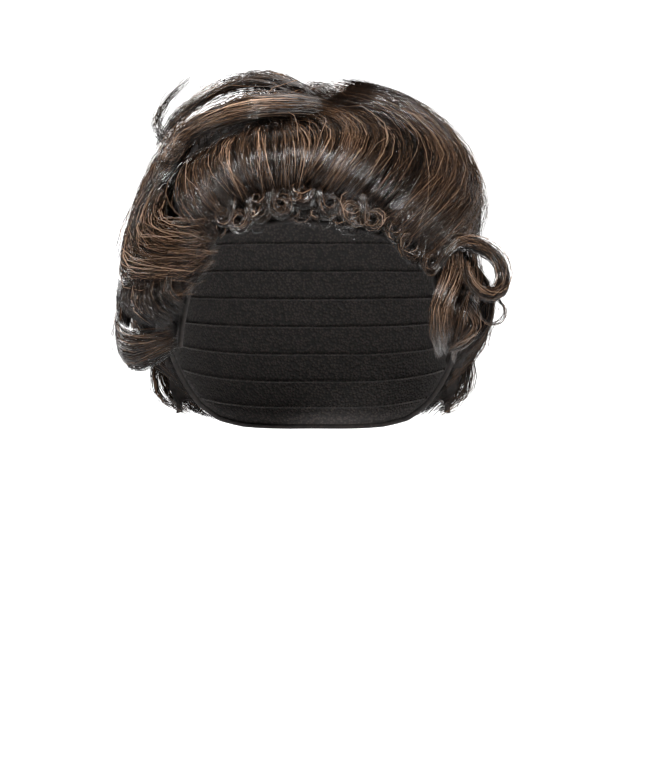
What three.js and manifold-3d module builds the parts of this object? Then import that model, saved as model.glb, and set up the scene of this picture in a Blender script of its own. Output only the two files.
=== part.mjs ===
// A short, dark, curled costume wig: a stretch cap, masses of hair sewn to it, and the waves, rolls and
// pin curls that are set over them. Millimetres, +Z up, the front is towards -Y. The origin is the point
// inside the crown of the cap that carries the wig.
import * as THREE from "three";
import { mergeVertices } from "three/addons/utils/BufferGeometryUtils.js";
import Module from "manifold-3d";

// Driving dimensions. The inside of the cap is a rounded box: three sizes and how square it is.
const capBreadth = 152;
const capLength = 194;
const crownHeight = 95; // from the cap's widest level up to its top
const capSquareness = 2.3;
const capWall = 1.6; // knitted net with its sewn rows of hair
const seatGap = 0.3; // between pieces that touch
const massDepth = 13; // hair lying close on the cap, measured from the cap's inside
const rightDepth = 8.5; // the same on the flatter right side
const rimDepth = 5.5; // and where it thins out at the rim
const rimSlope = 20; // degrees over which it grows to its full depth
const styleDepth = 24; // the full height of the set waves, measured from there too
const lockWidth = 20;
const lockThickness = 10;
const pinCurlRadius = 6;
const hookRadius = 13;
const rootTaper = 0.7; // share of a lock's full section at its root
const fullFrom = 0.4; // share of its length where the section is full
const fullTo = 0.55; // and where it begins to thin out
const tipTaper = 0.42; // share of the full section at its tip
const tightening = 0.6; // how much a curl's radius shrinks towards its end
const curlFill = 1.5; // widest a curled lock may be, in radii of its curl

// How finely the faceted solids are cut.
const capRows = 6;
const degreesPerStep = 12.5;
const fineStep = 7; // for the small curls that stand out
const wispStep = 10;
const coarseStep = 16; // for the plain back
const crownRows = 3;
const curlStepsPerTurn = 7;
const lockSides = 6;

const wasm = await Module();
wasm.setup();

const rad = THREE.MathUtils.degToRad;
const clampShare = (t) => Math.min(1, Math.max(0, t));

// The rim of the cap, a row for each place round it: azimuth 0 is the middle of the front and 90 the
// wearer's left, and the elevation is seen from the middle of the cap's widest level.
const rim = [
  { az: -180, el: -41 },
  { az: -164, el: -41 },
  { az: -150, el: -41 },
  { az: -137, el: -40 },
  { az: -125, el: -36 },
  { az: -111, el: -26 },
  { az: -98, el: -17 },
  { az: -84, el: -15 },
  { az: -70, el: -17 },
  { az: -52, el: -16 },
  { az: -46, el: -4 },
  { az: -41, el: 6 },
  { az: -34, el: 17 },
  { az: -20, el: 20 },
  { az: -6, el: 21.5 },
  { az: 8, el: 20.5 },
  { az: 22, el: 17 },
  { az: 34, el: 12 },
  { az: 42, el: 7 },
  { az: 45.5, el: -3 },
  { az: 50, el: -16 },
  { az: 70, el: -17 },
  { az: 84, el: -15 },
  { az: 98, el: -17 },
  { az: 111, el: -26 },
  { az: 125, el: -36 },
  { az: 137, el: -40 },
  { az: 150, el: -41 },
  { az: 164, el: -41 },
];
const rimAzimuths = rim.map((row) => row.az);

function rimElevation(az) {
  const turned = ((((az + 180) % 360) + 360) % 360) - 180;
  const after = rim.findIndex((row) => row.az > turned);
  const a = rim[(after < 0 ? rim.length : after) - 1];
  const b = after < 0 ? { az: 180, el: rim[0].el } : rim[after];
  return a.el + ((b.el - a.el) * (turned - a.az)) / (b.az - a.az);
}

// The form of the cap's inside.
function direction(az, el) {
  const flat = Math.cos(rad(el));
  return new THREE.Vector3(flat * Math.sin(rad(az)), -flat * Math.cos(rad(az)), Math.sin(rad(el)));
}

function insideRadius(d) {
  const terms = [(2 * d.x) / capBreadth, (2 * d.y) / capLength, d.z / crownHeight];
  const sum = terms.reduce((total, x) => total + Math.abs(x) ** capSquareness, 0);
  return sum ** (-1 / capSquareness);
}

function above(d, height) {
  const p = d.clone().multiplyScalar(insideRadius(d) + height);
  p.z -= crownHeight;
  return p;
}

const flat = (height) => () => height;
const evenLevels = (low, high, rows) =>
  Array.from({ length: rows + 1 }, (_, row) => low + ((high - low) * row) / rows);

// Closed solids from rings of points, for manifold-3d.
function solidFrom(points, triangles) {
  let geometry = new THREE.BufferGeometry();
  geometry.setAttribute("position", new THREE.Float32BufferAttribute(points.flatMap((p) => p.toArray()), 3));
  geometry.setIndex(triangles);
  geometry = mergeVertices(geometry, 1e-4);
  const index = [...geometry.index.array];
  const kept = [];
  for (let i = 0; i < index.length; i += 3) {
    const [a, b, c] = index.slice(i, i + 3);
    if (a !== b && b !== c && c !== a) kept.push(a, b, c);
  }
  return new wasm.Manifold(
    new wasm.Mesh({
      numProp: 3,
      vertProperties: geometry.attributes.position.array,
      triVerts: new Uint32Array(kept),
    }),
  );
}

// A wall over part of the cap: a column of the elevations that levels(az) names at each azimuth.
function wall({ columns, levels, inner, outer, around }) {
  const points = [];
  const rows = levels(columns[0]).length - 1;
  const count = columns.length;
  const at = (layer, column, row) => (layer * count + (column % count)) * (rows + 1) + row;
  for (const height of [inner, outer])
    for (const az of columns) for (const el of levels(az)) points.push(above(direction(az, el), height(az, el)));
  const triangles = [];
  const quad = (a, b, c, d) => triangles.push(a, b, c, a, c, d);
  const spans = around ? count : count - 1;
  for (let c = 0; c < spans; c++) {
    for (let r = 0; r < rows; r++) {
      quad(at(1, c, r), at(1, c + 1, r), at(1, c + 1, r + 1), at(1, c, r + 1));
      quad(at(0, c, r), at(0, c, r + 1), at(0, c + 1, r + 1), at(0, c + 1, r));
    }
    quad(at(0, c, 0), at(0, c + 1, 0), at(1, c + 1, 0), at(1, c, 0));
    if (!around) quad(at(0, c, rows), at(1, c, rows), at(1, c + 1, rows), at(0, c + 1, rows));
  }
  if (!around)
    for (let r = 0; r < rows; r++) {
      const last = count - 1;
      quad(at(0, 0, r), at(1, 0, r), at(1, 0, r + 1), at(0, 0, r + 1));
      quad(at(0, last, r), at(0, last, r + 1), at(1, last, r + 1), at(1, last, r));
    }
  return solidFrom(points, triangles);
}

// The way a lock takes: from its root to its tip over the cap, bowed and waved sideways in degrees, at
// three heights over its inside, and then round its curl, which lies flat.
function lockPath(lock) {
  const from = direction(lock.az0, lock.el0);
  const to = direction(lock.az1, lock.el1);
  const angle = from.angleTo(to);
  const side = from.clone().cross(to).normalize();
  const stations = [];
  const swing = Math.abs(lock.bow) + 2 * Math.abs(lock.wave);
  const travel = THREE.MathUtils.radToDeg(angle) + swing;
  const last = Math.max(2, Math.round(travel / (lock.step ?? degreesPerStep)));
  for (let i = 0; i <= last; i++) {
    const t = i / last;
    const d = from.clone().multiplyScalar(Math.sin((1 - t) * angle));
    d.addScaledVector(to, Math.sin(t * angle)).divideScalar(Math.sin(angle));
    const aside = rad(lock.bow * Math.sin(Math.PI * t) + lock.wave * Math.sin(2 * Math.PI * t));
    d.addScaledVector(side, aside).normalize();
    const ends = lock.rise0 * (1 - t) * (1 - 2 * t) + lock.rise2 * t * (2 * t - 1);
    const share = ends + 4 * lock.rise1 * t * (1 - t);
    stations.push({ place: above(d, share * styleDepth), out: d });
  }
  if (lock.turns) {
    const end = stations[last];
    const along = end.place.clone().sub(stations[last - 1].place).normalize();
    const out = end.out.clone().addScaledVector(along, -along.dot(end.out)).normalize();
    const across = out.clone().cross(along).multiplyScalar(Math.sign(lock.turns));
    const radius = lock.curl * (lock.hook ? hookRadius : pinCurlRadius);
    const steps = Math.max(3, Math.round(curlStepsPerTurn * Math.abs(lock.turns)));
    const stepAngle = (2 * Math.PI * Math.abs(lock.turns)) / steps;
    const place = end.place.clone();
    for (let i = 0; i < steps; i++) {
      const reach = radius * (1 - (tightening * (i + 1)) / steps) * stepAngle;
      const heading = (i + 0.5) * stepAngle;
      place.addScaledVector(along, reach * Math.cos(heading));
      place.addScaledVector(across, reach * Math.sin(heading));
      const room = curlFill * radius * (1 - (tightening * (i + 1)) / steps);
      stations.push({ place: place.clone(), out, room });
    }
  }
  return stations;
}

// A lock is a flattened round section swept along its way. grow makes the copy that clears its neighbours.
function lockSolid(lock, grow = 0) {
  const stations = lockPath(lock);
  const last = stations.length - 1;
  const points = [];
  stations.forEach(({ place, out, room }, i) => {
    const next = stations[Math.min(i + 1, last)].place;
    const along = next.clone().sub(stations[Math.max(i - 1, 0)].place).normalize();
    const across = out.clone().cross(along).normalize();
    const up = along.clone().cross(across);
    const t = i / last;
    const grown = Math.sin((Math.PI * Math.min(t, fullFrom)) / (2 * fullFrom));
    const swell = rootTaper + (1 - rootTaper) * grown;
    const taper = 1 - (1 - tipTaper) * clampShare((t - fullTo) / (1 - fullTo)) ** 2;
    const width = Math.min(lock.width * lockWidth * swell * taper, room ?? Infinity);
    const thick = lock.thick * lockThickness * swell * taper;
    const shift = i === 0 ? -grow : i === last ? grow : 0;
    for (let s = 0; s < lockSides; s++) {
      const turn = (2 * Math.PI * s) / lockSides;
      const p = place.clone().addScaledVector(across, (width / 2 + grow) * Math.cos(turn));
      p.addScaledVector(up, (thick / 2 + grow) * Math.sin(turn)).addScaledVector(along, shift);
      points.push(p);
    }
  });
  const triangles = [];
  for (let i = 0; i < last; i++)
    for (let s = 0; s < lockSides; s++) {
      const next = (s + 1) % lockSides;
      const [a, b] = [i * lockSides, (i + 1) * lockSides];
      triangles.push(a + s, a + next, b + next, a + s, b + next, b + s);
    }
  for (let s = 1; s < lockSides - 1; s++) {
    const tip = last * lockSides;
    triangles.push(0, s + 1, s, tip, tip + s, tip + s + 1);
  }
  return solidFrom(points, triangles);
}

// Tables of locks. az and el are where a lock starts and ends, bow and wave how far it swings sideways, all
// in degrees; rise0 to rise2 are shares of styleDepth, width and thick shares of a full lock, curl a share
// of the curl's radius.
const columnsOf = [
  "az0", "el0", "az1", "el1", "bow", "wave", "rise0", "rise1", "rise2", "width", "thick", "curl", "turns",
];
const lockTable = (rows, extra = {}) =>
  rows.map((row) => ({ ...Object.fromEntries(columnsOf.map((name, i) => [name, row[i]])), ...extra }));

// The same lock set again and again round the cap, every other one mirrored where it should weave.
function lockRow({ count, from, to, lean = 0, weave = false, ...lock }) {
  return Array.from({ length: count }, (_, i) => {
    const az = from + ((to - from) * i) / (count - 1);
    const hand = weave && i % 2 ? -1 : 1;
    return { ...lock, az0: az, az1: az + lean, bow: lock.bow * hand, wave: lock.wave * hand };
  });
}

const crownLocks = lockTable([
  [-50, 42, -30, 17, -6, 0, 0.4, 0.68, 0.42, 0.8, 0.8, 0, 0],
  [-42, 44, -26, 21, -5, 0, 0.4, 0.7, 0.42, 0.85, 0.8, 0, 0],
  [-31, 46, -20, 25, -3, 0, 0.4, 0.7, 0.42, 0.85, 0.8, 0, 0],
  [-20, 48, -13, 26, -1, 0, 0.4, 0.7, 0.42, 0.8, 0.8, 0, 0],
  [-11, 49, -7, 27, 2, 0, 0.4, 0.7, 0.42, 0.75, 0.8, 0, 0],
  [-5, 52, -2, 29, 6, 0, 0.42, 0.7, 0.5, 0.7, 0.8, 0, 0],
  [-2, 56, 3, 27, 9, 0, 0.42, 0.72, 0.5, 0.75, 0.8, 0, 0],
  [4, 59, 9, 25, 12, 0, 0.42, 0.7, 0.5, 0.8, 0.8, 0, 0],
  [9, 63, 15, 22, 15, 0, 0.42, 0.56, 0.5, 0.8, 0.8, 0, 0],
  [18, 67, 21, 18, 19, 0, 0.5, 0.68, 0.5, 0.9, 0.9, 0, 0],
  [32, 71, 27, 14, 23, 0, 0.58, 0.76, 0.5, 1, 0.9, 0, 0],
  [52, 75, 33, 12, 26, 0, 0.62, 0.74, 0.5, 1, 0.9, 0, 0],
  [78, 78, 42, 12, 24, 0, 0.64, 0.68, 0.46, 1.1, 0.9, 0, 0],
  [104, 78, 56, 16, 20, 0, 0.6, 0.64, 0.42, 1.2, 0.9, 0, 0],
  [124, 77, 80, 22, 14, 0, 0.56, 0.6, 0.42, 1.2, 0.9, 0, 0],
]);
const topLocks = lockRow({
  count: 4, from: -146, to: -18, el0: 82, el1: 46, lean: 10, bow: -4, wave: 5, rise0: 0.42, rise1: 0.54,
  rise2: 0.36, width: 1.2, thick: 0.9, turns: 0,
});

// A pin curl comes down to one side of its own centre and turns round it once.
const pinDrop = 7;
const pinAside = 3.4;
const pinLift = 0.5;
const pinTurns = 0.95;
const pinCurl = ({ az, el, size, hand }) => ({
  az0: az - hand * pinAside, el0: el + pinDrop, az1: az - hand * pinAside, el1: el + pinLift, bow: 0, wave: 0,
  rise0: 0.32, rise1: 0.4, rise2: 0.34, width: 0.4, thick: 0.5, curl: size, turns: pinTurns * hand,
});
const frontPinCurls = [
  { az: -29, el: 18, size: 1, hand: 1 },
  { az: -20, el: 19, size: 0.85, hand: -1 },
  { az: -11, el: 22, size: 0.9, hand: 1 },
  { az: 2, el: 23, size: 0.9, hand: 1 },
  { az: 11, el: 21, size: 0.85, hand: -1 },
  { az: 20, el: 18, size: 0.85, hand: 1 },
  { az: 28, el: 13, size: 1, hand: -1 },
  { az: 35, el: 9, size: 0.9, hand: -1 },
].map(pinCurl);
const sweptLocks = lockTable([[12, 57, -47, 46, 3, 0, 0.45, 0.84, 0.94, 0.85, 0.9, 1.1, 0.6]], { hook: true });
// Loose hair that stands off over the swept lock, and the tuft that turns up at its end.
const raisedWisps = lockTable([
  [10, 63, -76, 49, -6, 0, 0.5, 1.08, 1.08, 0.8, 0.4, 0, 0],
  [-40, 68, -78, 44, 4, 0, 1.02, 1.1, 1.05, 0.8, 0.4, 0, 0],
  [-74, 48, -90, 60, 9, 0, 1.04, 1.6, 1.6, 0.7, 0.4, 0, 0],
], { step: wispStep });
const leftLocks = lockTable([
  [-100, 62, -72, 6, -7, 0, 0.5, 0.85, 0.6, 1.1, 1, 0, 0],
  [-60, 36, -31, 14, -8, 0, 0.5, 0.72, 0.55, 0.6, 0.7, 0, 0],
  [-66, 38, -30, 11, -14, 0, 0.5, 0.8, 0.55, 0.7, 0.8, 0, 0],
  [-82, 34, -30, 6, -18, 0, 0.5, 0.86, 0.55, 0.9, 0.9, 0, 0],
  [-88, 18, -34, 0, -13, 0, 0.55, 0.75, 0.42, 0.8, 0.8, 0, 0],
]);
const leftRoll = lockTable([[-90, 7, -44, -11, -10, 0, 0.62, 0.97, 0.45, 0.9, 0.75, 0, 0]], { step: fineStep });
const rightLocks = lockTable([
  [46, 18, 43, -13, -2, 3, 0.25, 0.36, 0.25, 0.7, 0.7, 0, 0],
  [56, 24, 51, -15, 3, 3, 0.25, 0.38, 0.24, 0.8, 0.7, 0, 0],
  [70, 28, 68, -14, 3, 3, 0.25, 0.38, 0.24, 0.9, 0.7, 0, 0],
  [88, 32, 86, -11, 3, 3, 0.3, 0.4, 0.25, 1.1, 0.8, 0, 0],
  [104, 34, 102, -14, 3, 3, 0.3, 0.42, 0.3, 1.1, 0.8, 0, 0],
]);
const rightRing = lockTable([[42, 11, 57, -9, 16, 0, 0.36, 0.82, 0.36, 0.6, 0.45, 0, 0]], { step: fineStep });
const rightLowerCurl = lockTable([[47, 2, 45, -15, 12, 0, 0.32, 0.5, 0.3, 0.6, 0.6, 0, 0]], { step: fineStep });
const backLocks = lockRow({
  count: 6, from: 120, to: 240, el0: 80, el1: 8, bow: 5, wave: 8, rise0: 0.42, rise1: 0.75, rise2: 0.6,
  width: 1.4, thick: 0.9, turns: 0, step: coarseStep,
});
const backCurls = lockRow({
  count: 6, from: 116, to: 244, el0: 12, el1: -20, bow: 9, wave: 0, rise0: 0.5, rise1: 0.7, rise2: 0.5,
  width: 1.2, thick: 0.8, turns: 0, weave: true, step: coarseStep,
});
const napeLocks = lockRow({
  count: 6, from: 116, to: 244, el0: -18, el1: -38, bow: 4, wave: 0, rise0: 0.36, rise1: 0.5, rise2: 0.34,
  width: 1.2, thick: 0.9, turns: 0, weave: true, step: coarseStep,
});

// The masses of hair that lie on the cap, each a patch of it between two azimuths. The front lies between
// two of them, and the sides reach round to the back.
const seam = 0.12; // degrees kept free on each side of a parting between two masses
const columnGap = 4; // no rim column stands closer than this to a parting
const belowRim = -65; // how far down the copy of the cap that the hair is cut back to reaches
const frontFrom = -38;
const frontTo = 40;
const sidesTo = 112;
const fullTurn = 360;
const frontRoot = 29;
const napeTop = -12;
const backTop = 30;
const templeTop = 24;
const earTop = 28;
const templeTo = 55;
const sideTop = (az) => (Math.abs(az) < templeTo ? templeTop : earTop);
function columnsBetween(from, to, inset) {
  const twiceRound = [...rimAzimuths, ...rimAzimuths.map((az) => az + fullTurn)];
  const inner = twiceRound.filter((az) => az > from + columnGap && az < to - columnGap);
  return [from + inset, ...inner, to - inset];
}
const masses = {
  front: { from: frontFrom, to: frontTo, low: rimElevation, high: () => frontRoot - seam, rows: 1 },
  left: { from: -sidesTo, to: frontFrom, low: rimElevation, high: (az) => sideTop(az) - seam, rows: 2 },
  right: {
    from: frontTo, to: sidesTo, low: rimElevation, high: (az) => sideTop(az) - seam, rows: 2, depth: rightDepth,
  },
  back: {
    from: sidesTo, to: fullTurn - sidesTo, low: () => napeTop + seam, high: () => backTop - seam, rows: 2,
  },
  nape: { from: sidesTo, to: fullTurn - sidesTo, low: rimElevation, high: () => napeTop - seam, rows: 2 },
};
function crownEdge(az) {
  if (az > frontFrom && az < frontTo) return frontRoot + seam;
  return (Math.abs(az) > sidesTo ? backTop : sideTop(az)) + seam;
}

const capLevels = (az) => evenLevels(rimElevation(az), 90, capRows);
const capOutside = wall({
  columns: rimAzimuths,
  levels: (az) => [belowRim, ...capLevels(az)],
  inner: flat(-2 * massDepth),
  outer: flat(capWall + seatGap),
  around: true,
});
function depthAt(az, el, full) {
  const share = clampShare((el - rimElevation(az)) / rimSlope);
  return rimDepth + (full - rimDepth) * share * share * (3 - 2 * share);
}
const massOf = (name, grow) => {
  const spare = grow ? -seam : 0;
  if (name === "crown")
    return wall({
      columns: [...rimAzimuths, -sidesTo, frontFrom, frontTo, sidesTo].sort((a, b) => a - b),
      levels: (az) => evenLevels(crownEdge(az) + 2 * spare, 90, crownRows),
      inner: flat(-massDepth / 2),
      outer: (az, el) => depthAt(az, el, massDepth) + grow,
      around: true,
    });
  const { from, to, low, high, rows, depth = massDepth } = masses[name];
  return wall({
    columns: columnsBetween(from, to, seam + spare),
    levels: (az) => evenLevels(low(az) + spare, high(az) - spare, rows),
    inner: flat(-massDepth / 2),
    outer: (az, el) => depthAt(az, el, depth) + grow,
  });
};

// Each group of hair, the topmost first: a later one is cut back to clear those before it.
const groups = [
  { name: "raised_wisps", locks: raisedWisps },
  { name: "swept_lock", locks: sweptLocks },
  { name: "right_ring_curl", locks: rightRing },
  { name: "front_pin_curls", locks: frontPinCurls, mass: "front" },
  { name: "crown_waves", locks: [...crownLocks, ...topLocks], mass: "crown" },
  { name: "left_temple_curls", locks: leftLocks, mass: "left" },
  { name: "left_lower_roll", locks: leftRoll },
  { name: "right_lower_curl", locks: rightLowerCurl },
  { name: "right_side_waves", locks: rightLocks, mass: "right" },
  { name: "back_waves", locks: backLocks },
  { name: "back_curls", locks: backCurls, mass: "back" },
  { name: "nape_locks", locks: napeLocks, mass: "nape" },
];
const rawSolids = (group, grow) => {
  const parts = group.locks.map((lock) => lockSolid(lock, grow));
  if (group.mass) parts.push(massOf(group.mass, grow));
  return wasm.Manifold.union(parts);
};

const hairMaterial = new THREE.MeshStandardMaterial({ color: 0x2e211a, roughness: 0.45, metalness: 0 });
const capMaterial = new THREE.MeshStandardMaterial({ color: 0x1c1715, roughness: 0.9, metalness: 0 });
const wig = new THREE.Group();

function addNode(name, solid, material) {
  const mesh = solid.getMesh();
  const geometry = new THREE.BufferGeometry();
  geometry.setAttribute("position", new THREE.BufferAttribute(mesh.vertProperties, 3));
  geometry.setIndex(new THREE.BufferAttribute(mesh.triVerts, 1));
  geometry.computeVertexNormals();
  const node = new THREE.Mesh(geometry, material);
  node.name = name;
  wig.add(node);
}

addNode(
  "wig_cap",
  wall({ columns: rimAzimuths, levels: capLevels, inner: flat(0), outer: flat(capWall), around: true }),
  capMaterial,
);

const largestBody = (solid) =>
  solid.decompose().reduce((best, body) => (body.volume() > best.volume() ? body : best));
let taken = capOutside;
for (const group of groups) {
  addNode(group.name, largestBody(rawSolids(group, 0).subtract(taken)), hairMaterial);
  taken = taken.add(rawSolids(group, seatGap));
}

export default wig;
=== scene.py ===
# %% [markdown]
# # A short curled wig
# The wig is dark brown costume hair on a stretch cap, set in waves, rolls and pin curls, and it keeps the
# form it has when it is worn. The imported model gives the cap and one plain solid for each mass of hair.
# This lesson lays the hair over them: thousands of fine strands that are combed along the same locks, soft
# dark bodies under them, and last the cap with its sewn rows.

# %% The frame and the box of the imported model
import math

import bpy
import numpy as np
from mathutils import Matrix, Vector


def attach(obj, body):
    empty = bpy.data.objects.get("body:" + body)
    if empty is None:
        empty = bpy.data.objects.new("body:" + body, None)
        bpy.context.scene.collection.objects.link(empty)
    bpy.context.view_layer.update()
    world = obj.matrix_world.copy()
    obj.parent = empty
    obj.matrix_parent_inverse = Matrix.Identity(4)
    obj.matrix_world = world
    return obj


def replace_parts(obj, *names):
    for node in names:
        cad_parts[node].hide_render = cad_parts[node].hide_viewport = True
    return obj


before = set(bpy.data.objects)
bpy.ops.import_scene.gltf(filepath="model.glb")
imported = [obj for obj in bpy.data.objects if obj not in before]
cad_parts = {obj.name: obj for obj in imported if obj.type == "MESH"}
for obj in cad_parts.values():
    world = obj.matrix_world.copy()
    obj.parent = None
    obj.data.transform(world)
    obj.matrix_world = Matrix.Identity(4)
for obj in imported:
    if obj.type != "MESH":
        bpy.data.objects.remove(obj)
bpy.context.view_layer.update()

for thing in bpy.context.selected_objects:
    thing.select_set(False)
print("nodes:", sorted(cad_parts))

# %% [markdown]
# The camera stands level with the lower part of the front opening and looks straight back, as in the
# photograph. A long lens keeps the outline flat. Its distance and lens are worked out together from the
# scale that the picture has at the middle of the cap.

# %% The camera
IMAGE_HEIGHT = 774
METRES_PER_PIXEL = 0.00052
CAMERA_DISTANCE = 1.6
CAMERA_SIDE = 0.0049
CAMERA_HEIGHT = -0.14
SENSOR = 36.0

bpy.ops.object.camera_add(
    location=(CAMERA_SIDE, -CAMERA_DISTANCE, CAMERA_HEIGHT),
    rotation=(math.radians(90), 0, 0),
)
camera = bpy.context.object
camera.name = "camera"
camera.data.sensor_width = SENSOR
camera.data.lens = SENSOR * CAMERA_DISTANCE / (METRES_PER_PIXEL * IMAGE_HEIGHT)
bpy.context.scene.camera = camera
print("lens", round(camera.data.lens, 1))

# %% [markdown]
# The room is a pale floor and a pale wall that glow a little, so that they stay white while the lamps stay
# low. Hair shows its waves by the sheen across them, so one small lamp stands high in front, where it puts
# a bright band on every crest and leaves the valleys dark. Four weaker lamps open up the two sides, the
# crown and the back. All of them are narrowed, so that they light the hair and not the room.

# %% The lamps
LAMPS = [
    # name, place, size, watts
    ("key lamp", (-0.4, -1.15, 1.25), 0.25, 13),
    ("side lamp", (1.1, -1.1, 0.5), 0.3, 8),
    ("temple lamp", (-1.25, -0.9, 0.1), 0.3, 2),
    ("crown lamp", (0.1, 0.5, 1.3), 0.5, 1.2),
    ("back lamp", (-0.5, 1.3, 0.9), 0.6, 6),
]
SPREAD = 60.0
AIM = Vector((0.0, 0.0, -0.08))
WORLD_LIGHT = 0.08


def add_lamp(name, place, size, watts):
    bpy.ops.object.light_add(type="AREA", location=place)
    lamp = bpy.context.object
    lamp.name = name
    lamp.data.size = size
    lamp.data.energy = watts
    lamp.data.spread = math.radians(SPREAD)
    lamp.rotation_euler = (AIM - Vector(place)).to_track_quat("-Z", "Y").to_euler()


for row in LAMPS:
    add_lamp(*row)
print("lamps", len(LAMPS), "with", sum(row[3] for row in LAMPS), "watts")

world = bpy.data.worlds.new("room light")
world.use_nodes = True
world.node_tree.nodes["Background"].inputs["Color"].default_value = (1.0, 1.0, 1.0, 1.0)
world.node_tree.nodes["Background"].inputs["Strength"].default_value = WORLD_LIGHT
bpy.context.scene.world = world
bpy.context.scene.view_settings.view_transform = "Standard"

# %% [markdown]
# A finish is a small tree of shader nodes. Two helpers keep it readable. A wire wraps one socket, so that
# numbers that change over a surface can be added and multiplied like any others, and a finish makes every
# other node from its type, its settings and what goes into its sockets.


# %% Helpers for finishes
def grey(value):
    return (value, value, value)


class Wire:
    def __init__(self, finish, socket):
        self.finish = finish
        self.socket = socket

    def reckon(self, operation, first, second=0.0):
        return self.finish.make("Math", {"operation": operation}, {0: first, 1: second})

    def __add__(self, other):
        return self.reckon("ADD", self, other)

    __radd__ = __add__

    def __mul__(self, other):
        return self.reckon("MULTIPLY", self, other)

    __rmul__ = __mul__


class Finish:
    def __init__(self, name):
        self.material = bpy.data.materials.new(name)
        self.material.use_nodes = True
        self.tree = self.material.node_tree
        self.tree.nodes.clear()

    def make(self, kind, settings=None, sockets=None, output=0):
        node = self.tree.nodes.new("ShaderNode" + kind)
        for key, value in (settings or {}).items():
            if key == "stops":
                self.set_stops(node.color_ramp, value)
            else:
                setattr(node, key, value)
        for key, value in (sockets or {}).items():
            if isinstance(value, Wire):
                self.tree.links.new(value.socket, node.inputs[key])
            else:
                node.inputs[key].default_value = value
        return Wire(self, node.outputs[output]) if len(node.outputs) else None

    def set_stops(self, ramp, stops):
        while len(ramp.elements) < len(stops):
            ramp.elements.new(1.0)
        for element, (place, colour) in zip(ramp.elements, stops):
            element.position = place
            element.color = (*colour, 1.0)

    def end(self, sockets):
        surface = self.make("BsdfPrincipled", None, sockets)
        self.make("OutputMaterial", None, {"Surface": surface})
        return self.material


# %% [markdown]
# The room's own finish is a plain matt white with a faint unevenness, so that nothing in the picture draws
# the eye from the hair. Its glow is weak near the wig and grows towards the wall, because a bright floor
# would light the underside of the hair, which stays dark when the wig is worn.

# %% The floor and the wall
FLOOR_HEIGHT = -0.42
WALL_BACK = 2.6
ROOM = 6.4
WALL = 3.4
GLOW = 0.95

room = Finish("pale paper")
room_depth = room.make("SeparateXYZ", None, {0: room.make("NewGeometry")}, output=1)
unevenness = room.make("TexNoise", None, {"Scale": 3.0, "Detail": 2.0})
room_material = room.end(
    {
        "Base Color": room.make(
            "ValToRGB", {"stops": [(0.3, grey(0.86)), (0.7, grey(0.89))]}, {0: unevenness}
        ),
        "Roughness": 0.9,
        "Emission Color": room.make(
            "ValToRGB", {"stops": [(0.0, grey(0.12)), (0.6, grey(1.0))]}, {0: room_depth}
        ),
        "Emission Strength": GLOW,
    }
)


def add_panel(name, size, place, turn):
    bpy.ops.mesh.primitive_plane_add(size=size, location=place, rotation=(turn, 0, 0))
    panel = bpy.context.object
    panel.name = name
    panel.data.materials.append(room_material)


add_panel("floor", ROOM, (0, WALL_BACK - ROOM / 2, FLOOR_HEIGHT), 0)
add_panel("wall", WALL, (0, WALL_BACK, FLOOR_HEIGHT + WALL / 2), math.radians(90))
print("floor at", FLOOR_HEIGHT, "and wall at", WALL_BACK, "metres")

# %% [markdown]
# Hair is placed by two angles, as towns are on a globe: the azimuth runs round from the middle of the front
# to the wearer's left, and the elevation is seen from the cap's widest level. The inside of the cap is a
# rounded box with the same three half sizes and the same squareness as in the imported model. Its rim is read
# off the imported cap.

# %% The form of the cap
HALF_SIZES = np.array([0.076, 0.097, 0.095])
SQUARENESS = 2.3
MIDDLE = np.array([0.0, 0.0, -0.095])
CAP_WALL = 0.0016


def unit(vectors):
    return vectors / np.linalg.norm(vectors, axis=-1, keepdims=True)


def direction(azimuth, elevation):
    azimuth = np.radians(azimuth)
    elevation = np.radians(elevation)
    flat = np.cos(elevation)
    return np.stack([flat * np.sin(azimuth), -flat * np.cos(azimuth), np.sin(elevation)], axis=-1)


def inside(directions):
    terms = np.abs(directions / HALF_SIZES) ** SQUARENESS
    return terms.sum(axis=-1) ** (-1 / SQUARENESS)


def above(directions, height):
    return directions * (inside(directions) + height)[..., None] + MIDDLE


cap_corners = np.array([corner.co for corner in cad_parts["wig_cap"].data.vertices]) - MIDDLE
cap_azimuths = np.degrees(np.arctan2(cap_corners[:, 0], -cap_corners[:, 1])).round()
cap_elevations = np.degrees(np.arcsin(unit(cap_corners)[:, 2]))
rim_azimuths = np.unique(cap_azimuths)
rim_elevations = np.array([cap_elevations[cap_azimuths == azimuth].min() for azimuth in rim_azimuths])
print("the rim lies between", rim_elevations.min().round(), "and", rim_elevations.max().round(), "degrees")


def rim(azimuth):
    return np.interp(azimuth, rim_azimuths, rim_elevations, period=360)


# %% [markdown]
# A lock is one row of a table: where its root and its tip lie on the cap, how far it bows and waves to the
# side, how high it rises over the cap's inside at its root, middle and tip, how wide and thick it is, and
# what curl it ends in. Rises, widths, thicknesses and curls are shares of the sizes below. The columns are
# those of the solids, so that strands and solids share one form.

# %% What the numbers of a lock mean
COLUMNS = (
    "az0", "el0", "az1", "el1", "bow", "wave", "rise0", "rise1", "rise2", "width", "thick", "curl", "turns",
)
STYLE_DEPTH = 0.024
LOCK_WIDTH = 0.020
LOCK_THICKNESS = 0.010
PIN_CURL_RADIUS = 0.006
HOOK_RADIUS = 0.013
ROOT_TAPER = 0.7
TIP_TAPER = 0.42
FULL_FROM = 0.4
FULL_TO = 0.55
TIGHTENING = 0.6


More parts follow.
